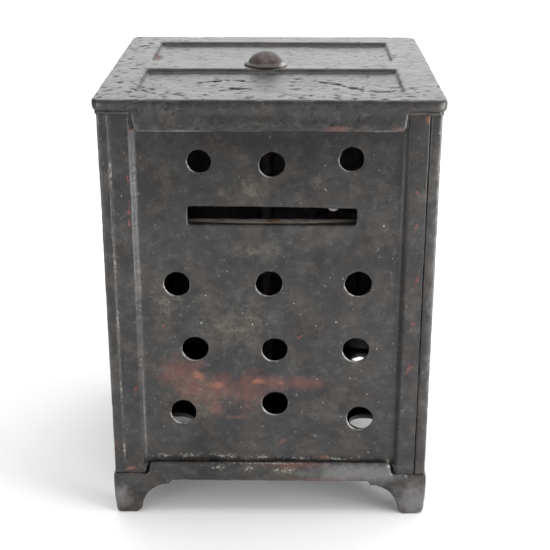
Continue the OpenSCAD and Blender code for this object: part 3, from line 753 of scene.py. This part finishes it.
# The seam paint's left bead is made paler along its front: a painted highlight.
seam_paint = painted_iron("seam_paint", [((35.4, -38, 60), (3, 3, 5))], [((-35.4, -38, 50), (3, 3, 40))],
                          [((-35.4, -38.3, z), (2, 2, 7)) for z in (18, 34, 52, 66, 88)],
                          painted_light_places=[((-35.4, -39.2, 56), (3, 2, 80))], shift=2.9)
for x in (-1, 1):
    side = "left" if x < 0 else "right"
    face, width = (-37.75, 1.0) if x < 0 else (-37.4, 0.6)
    paint_strip("back_seam_" + side, (35.5 * x, face, SEAM_LOW), (35.5 * x, face, SEAM_HIGH),
                (width, 0, 0), (0, 0.5, 0), 1 + x)
    paint_strip("front_seam_" + side, (35.4 * x, 37.6, SEAM_LOW), (35.4 * x, 37.6, SEAM_HIGH),
                (0.6, 0, 0), (0, 0.5, 0), 4 + x)
    for y in (-1, 1):
        end = side + ("_back" if y < 0 else "_front")
        paint_strip("lip_seam_" + end, (30.4 * x, 37.8 * y, UNDER_LIP), (37.7 * x, 37.8 * y, UNDER_LIP),
                    (0, 0, 1.1), (0, 1.0, 0), 7 + x + 2 * y)
        paint_strip("side_lip_seam_" + end, (37.8 * x, 30.4 * y, UNDER_LIP), (37.8 * x, 37.7 * y, UNDER_LIP),
                    (0, 0, 1.1), (1.0, 0, 0), 17 + x + 2 * y)
        paint_strip("apron_end_" + end, (31.0 * x, 37.5 * y, UNDER_LIP), (30.3 * x, 37.2 * y, 98.0),
                    (0.9, 0, 0), (0, 0.7, 0), 27 + x + 2 * y)
        paint_strip("rail_end_" + end, (31.0 * x, 37.5 * y, ON_RAIL), (30.3 * x, 37.2 * y, 13.8),
                    (0.9, 0, 0), (0, 0.7, 0), 37 + x + 2 * y)

# ---------------------------------------------------------------- floor, light and camera


def make_floor():
    """A pale sheet that rises behind the bank in one smooth sweep; lengths here are in metres."""
    width, near, far, rise, radius = 2.4, -1.2, 1.5, 1.6, 0.6
    profile = [(near, 0.0), (far - radius, 0.0)]
    steps = 16
    for i in range(1, steps + 1):
        a = i / steps * math.pi / 2
        profile.append((far - radius + radius * math.sin(a), radius - radius * math.cos(a)))
    profile.append((far, rise))
    mesh = bpy.data.meshes.new("floor")
    verts = [(x, y, z) for y, z in profile for x in (-width / 2, width / 2)]
    faces = [(2 * i, 2 * i + 1, 2 * i + 3, 2 * i + 2) for i in range(len(profile) - 1)]
    mesh.from_pydata(verts, [], faces)
    mesh.shade_smooth()
    floor = bpy.data.objects.new("floor", mesh)
    bpy.context.scene.collection.objects.link(floor)
    n = Nodes("floor_paper")
    tone = n.mix(n.noise(60, 3), (0.83, 0.83, 0.825, 1), (0.87, 0.87, 0.865, 1))
    mesh.materials.append(n.finish(tone, 0.75, n.noise(0.8, 3), depth=0.02))


def area_light(name, place, aim, size, power):
    """An area light at place, turned towards aim, in metres and watts."""
    data = bpy.data.lights.new(name, "AREA")
    data.shape = "RECTANGLE"
    data.size, data.size_y = size
    data.energy = power
    light = bpy.data.objects.new(name, data)
    light.location = place
    light.rotation_euler = (Vector(aim) - Vector(place)).to_track_quat("-Z", "Y").to_euler()
    bpy.context.scene.collection.objects.link(light)


make_floor()
MIDDLE = (0.0, 0.0, 0.06)
area_light("window", (0.30, 1.15, 0.55), MIDDLE, (2.2, 0.9), 11.0)
area_light("right", (0.62, -0.16, 0.20), MIDDLE, (0.5, 0.4), 3.8)
area_light("above", (0.0, 0.10, 1.2), (0, 0, 0), (1.4, 1.2), 11.5)
area_light("low", (0.24, -0.20, 0.05), (0.03, -0.04, 0.02), (0.14, 0.09), 0.7)
area_light("low_left", (-0.22, -0.24, 0.05), (-0.02, -0.03, 0.0), (0.14, 0.09), 0.3)

world = bpy.data.worlds.new("studio")
world.use_nodes = True
world.node_tree.nodes["Background"].inputs["Color"].default_value = (1.0, 1.0, 1.0, 1)
world.node_tree.nodes["Background"].inputs["Strength"].default_value = 0.46
bpy.context.scene.world = world
bpy.context.scene.view_settings.view_transform = "Standard"

CAMERA_PLACE = (4.64, -294.1, 163.4)    # mm
CAMERA_DOWN, CAMERA_TURN = 21.27, 0.748  # degrees
LENS = 78.25                             # mm, on a sensor 36 mm wide
camera_data = bpy.data.cameras.new("camera")
camera_data.sensor_width = 36
camera_data.lens = LENS
camera = bpy.data.objects.new("camera", camera_data)
camera.location = tuple(c * MM for c in CAMERA_PLACE)
camera.rotation_euler = Euler((math.radians(90 - CAMERA_DOWN), 0, math.radians(CAMERA_TURN)), "XYZ")
camera_data.clip_start = 0.01
bpy.context.scene.collection.objects.link(camera)
bpy.context.scene.camera = camera
